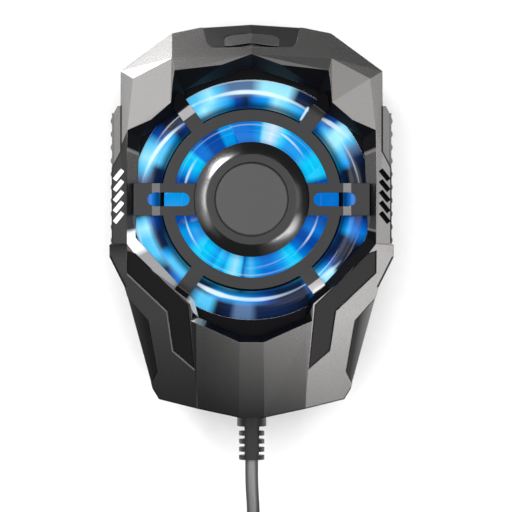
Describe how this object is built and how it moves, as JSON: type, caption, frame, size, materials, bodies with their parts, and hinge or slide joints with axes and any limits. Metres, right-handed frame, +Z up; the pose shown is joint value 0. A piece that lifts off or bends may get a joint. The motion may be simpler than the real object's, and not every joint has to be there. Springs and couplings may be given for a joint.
{
  "type": "phone cooling fan",
  "caption": "Clamp-on phone cooler: guarded fan in a faceted shell, heat sink and thermoelectric tile over a thermal pad, rack-coupled spring arms, cable with USB plug",
  "frame": {"origin": "centre of the bottom of the bounding box of the cooler without its cable: midway between the arms, at the tips of the jaws", "axes": "+Z up, out of the fan's face; -Z towards the phone; the cable leaves at -Y; the clamp arms slide along X"},
  "size_m": [0.0789, 0.1977, 0.0362],
  "materials": {
    "gunmetal_shell": "satin metallic paint on moulded plastic",
    "black_shell": "fine moulded texture",
    "dark_inlay": "satin, darker than the shell",
    "gunmetal_guard": "satin metallic paint on moulded plastic",
    "bright_trim": "bright plated chamfer",
    "light_guide": "clear blue, lit from below",
    "clear_blade": "clear blue, lit from behind",
    "led": "lit diode",
    "white_board": "white solder mask",
    "green_board": "green solder mask",
    "board_component": "moulded components",
    "laminated_steel": "stamped laminations",
    "copper_wire": "enamelled copper wire",
    "bearing_brass": "sintered sleeve",
    "bonded_magnet": "bonded magnet",
    "steel": "plain steel",
    "black_steel": "blackened steel",
    "bare_aluminium": "extruded, with a milled face",
    "white_ceramic": "fired ceramic",
    "pellet": "sintered pellets",
    "grey_pad": "soft silicone pad",
    "wire_sheath": "soft wire sheath",
    "arm_plastic": "satin metallic paint on moulded plastic",
    "soft_grip": "soft rubber",
    "white_gear": "natural acetal",
    "cable_sheath": "glossy black sheath",
    "tie_plastic": "black strap",
    "plug_plastic": "black overmould",
    "plug_steel": "nickel-plated steel",
    "plug_insulator": "white insulator"
  },
  "bodies": {
    "housing": {"front_shell": "gunmetal_shell", "rear_shell": "black_shell", "window_deck": "black_shell", "top_inlay": "dark_inlay", "left_lower_inlay": "dark_inlay", "right_lower_inlay": "dark_inlay", "left_side_insert": "dark_inlay", "right_side_insert": "dark_inlay", "switch_body": "black_shell", "switch_board": "green_board", "fan_guard": "gunmetal_guard", "hub_trim_ring": "bright_trim", "hub_disc": "gunmetal_guard", "light_ring": "light_guide", "led_board": "white_board", "led_chips": "led", "fan_frame": "black_shell", "fan_board": "green_board", "stator_core": "laminated_steel", "stator_windings": "copper_wire", "bearing_sleeve": "bearing_brass", "heat_sink": "bare_aluminium", "cooling_tile": "white_ceramic", "tile_pellets": "pellet", "cold_plate": "bare_aluminium", "thermal_pad": "grey_pad", "control_board": "green_board", "board_parts": "board_component", "tile_wires": "wire_sheath", "supply_wires": "wire_sheath", "pinion_pin": "steel", "left_spring": "steel", "right_spring": "steel", "shell_screws": "black_steel", "deck_screws": "black_steel", "fan_screws": "steel", "sink_screws": "steel", "strain_relief": "cable_sheath", "power_cable": "cable_sheath", "cable_coil": "cable_sheath", "cable_tie": "tie_plastic", "usb_plug_body": "plug_plastic", "usb_plug_shell": "plug_steel", "usb_plug_tongue": "plug_insulator"},
    "rotor": {"fan_rotor": "clear_blade", "magnet_ring": "bonded_magnet", "rotor_shaft": "steel"},
    "right_clamp": {"right_arm": "arm_plastic", "right_grip": "soft_grip", "right_jaw_liner": "soft_grip"},
    "left_clamp": {"left_arm": "arm_plastic", "left_grip": "soft_grip", "left_jaw_liner": "soft_grip"},
    "gear": {"pinion": "white_gear"},
    "button": {"mode_button": "gunmetal_shell", "switch_plunger": "board_component"}
  },
  "joints": [
    {"name": "fan_spin", "type": "hinge", "parent": "housing", "child": "rotor", "pos_m": [0, 0.0051, 0.0263], "axis": [0, 0, 1], "continuous": true},
    {"name": "right_arm_slide", "type": "slide", "parent": "housing", "child": "right_clamp", "axis": [1, 0, 0], "range_m": [0, 0.0125], "stiffness_N_per_m": 300, "springref_m": -0.003, "deforming": ["right_spring"]},
    {"name": "left_arm_slide", "type": "slide", "parent": "housing", "child": "left_clamp", "axis": [-1, 0, 0], "range_m": [0, 0.0125], "stiffness_N_per_m": 300, "springref_m": -0.003, "deforming": ["left_spring"]},
    {"name": "pinion_spin", "type": "hinge", "parent": "housing", "child": "gear", "pos_m": [0, 0.0215, 0.0149], "axis": [0, 0, -1], "range_deg": [-1, 240]},
    {"name": "button_press", "type": "slide", "parent": "housing", "child": "button", "axis": [0, 0, -1], "range_m": [0, 0.0005], "stiffness_N_per_m": 800}
  ],
  "couplings": [
    {"joint": "left_arm_slide", "follows": "right_arm_slide", "ratio": 1},
    {"joint": "pinion_spin", "follows": "right_arm_slide", "rad_per_m": 333.33}
  ]
}
